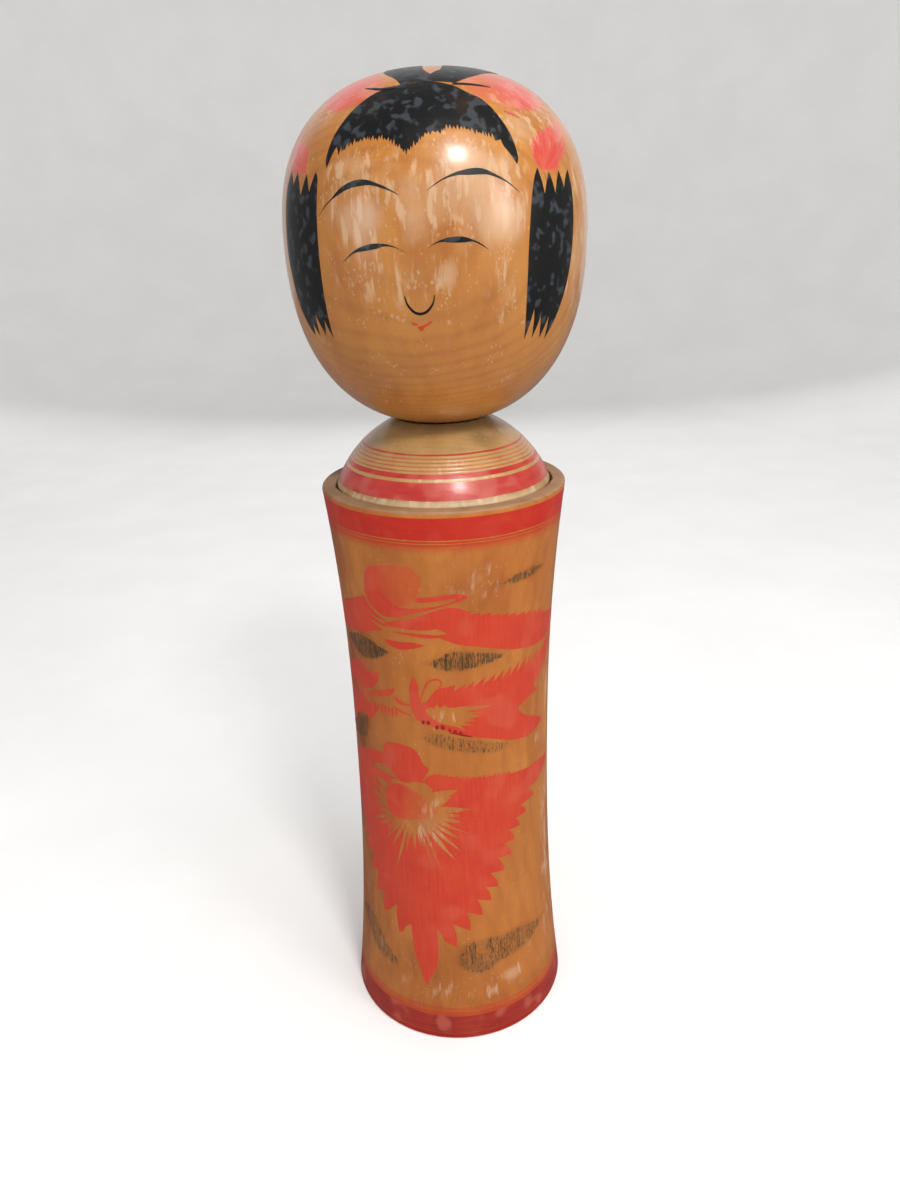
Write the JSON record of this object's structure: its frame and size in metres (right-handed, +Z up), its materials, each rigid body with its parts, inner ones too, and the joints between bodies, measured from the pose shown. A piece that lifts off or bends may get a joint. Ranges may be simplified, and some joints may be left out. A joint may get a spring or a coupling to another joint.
{
  "type": "kokeshi doll",
  "caption": "Tall turned-wood doll with a waisted trunk, a domed shoulder and a round head that turns on a captive neck; it stands free on a flat foot ring.",
  "frame": {"origin": "centre of the foot, on the plane that the doll stands on", "axes": "+Z up along the turning axis; the painted face looks along -Y; +X is to the right of someone facing the doll"},
  "size_m": [0.125, 0.125, 0.45],
  "materials": {
    "trunk_wood": "aged honey wax, worn matt along the foot and the rim",
    "shoulder_wood": "paler olive-tan wood under old wax",
    "head_wood": "polished honey wax with pale water spots",
    "red_dye": "red dye brushed on wood, waxed over",
    "black_ink": "black ink brushed on wood, waxed over"
  },
  "bodies": {
    "torso": {"trunk": "trunk_wood", "shoulder": "shoulder_wood"},
    "head": {"head": "head_wood"}
  },
  "joints": [
    {"name": "head_swivel", "type": "hinge", "parent": "torso", "child": "head", "pos_m": [0, 0, 0.315], "axis": [0, 0, 1], "continuous": true}
  ]
}
